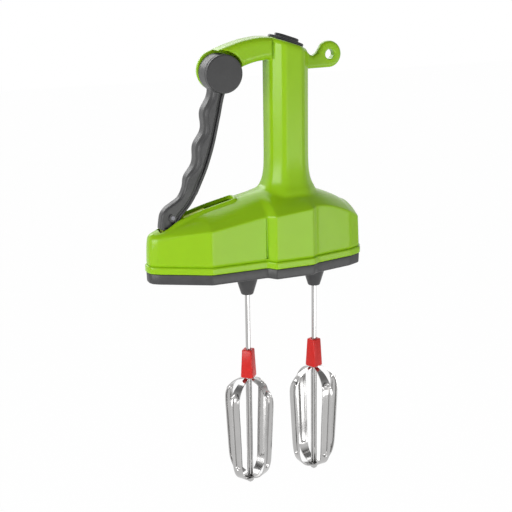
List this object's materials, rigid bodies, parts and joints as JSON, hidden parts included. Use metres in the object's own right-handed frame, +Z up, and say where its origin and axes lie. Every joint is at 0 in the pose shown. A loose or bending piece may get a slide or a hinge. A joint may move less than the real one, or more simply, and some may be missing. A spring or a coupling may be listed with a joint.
{
  "type": "squeeze-lever hand blender",
  "caption": "Hand blender worked by squeezing a lever towards an upright grip: a curved rack and gears in a long low body turn two wire-shaft beaters.",
  "frame": {"origin": "on the hand column's vertical axis, at the flat underside of the bottom cover", "axes": "+Z up the hand column, +X along the gear body away from the lever, -Y towards the front face"},
  "size_m": [0.1575, 0.066, 0.3241],
  "materials": {
    "green_plastic": "glossy moulded plastic, lime green",
    "dark_plastic": "satin moulded plastic, dark grey",
    "black_plastic": "satin moulded plastic, black",
    "red_plastic": "glossy moulded plastic, red",
    "white_nylon": "natural nylon",
    "lime_nylon": "nylon coloured lime",
    "steel": "bright steel",
    "brass": "turned brass"
  },
  "bodies": {
    "housing": {"upper_housing": "green_plastic", "bottom_cover": "dark_plastic", "top_cap": "black_plastic", "pivot_bolt": "steel", "pivot_nut": "steel", "return_spring": "steel", "compound_axle": "steel", "compound_clip": "steel", "idler_axle": "steel", "idler_clip": "steel", "bush_left": "brass", "bush_right": "brass", "cover_screw_1": "steel", "cover_screw_2": "steel", "cover_screw_3": "steel", "cover_screw_4": "steel"},
    "squeeze_lever": {"lever": "dark_plastic", "pivot_cap": "dark_plastic", "rack": "lime_nylon", "rack_pin_1": "steel", "rack_pin_2": "steel"},
    "drive_gear": {"compound_gear": "white_nylon"},
    "idler": {"idler_gear": "white_nylon"},
    "beater_left": {"beater_rod_left": "steel", "beater_gear_left": "white_nylon", "beater_clip_left": "steel", "collar_left": "red_plastic", "hoop_outer_left": "steel", "hoop_inner_left": "steel", "tip_nut_left": "steel"},
    "beater_right": {"beater_rod_right": "steel", "beater_gear_right": "white_nylon", "beater_clip_right": "steel", "collar_right": "red_plastic", "hoop_outer_right": "steel", "hoop_inner_right": "steel", "tip_nut_right": "steel"}
  },
  "joints": [
    {"name": "lever_swing", "type": "hinge", "parent": "housing", "child": "squeeze_lever", "pos_m": [-0.048, 0, 0.137], "axis": [0, -1, 0], "range_deg": [0, 18], "stiffness_Nm_per_rad": 0.5, "springref_deg": -17.19},
    {"name": "drive_spin", "type": "hinge", "parent": "housing", "child": "drive_gear", "pos_m": [-0.048, 0.0086, 0.0108], "axis": [0, 0, 1], "range_deg": [0, 413]},
    {"name": "beater_left_spin", "type": "hinge", "parent": "housing", "child": "beater_left", "pos_m": [-0.0305, 0, 0], "axis": [0, 0, 1], "range_deg": [-929, 0]},
    {"name": "idler_spin", "type": "hinge", "parent": "housing", "child": "idler", "pos_m": [-0.0045, 0, 0.0108], "axis": [0, 0, 1], "range_deg": [0, 279]},
    {"name": "beater_right_spin", "type": "hinge", "parent": "housing", "child": "beater_right", "pos_m": [0.0215, 0, 0], "axis": [0, 0, 1], "range_deg": [-929, 0]}
  ],
  "couplings": [
    {"joint": "drive_spin", "follows": "lever_swing", "ratio": 22.92},
    {"joint": "beater_left_spin", "follows": "lever_swing", "ratio": -51.57},
    {"joint": "idler_spin", "follows": "lever_swing", "ratio": 15.471},
    {"joint": "beater_right_spin", "follows": "lever_swing", "ratio": -51.57}
  ]
}
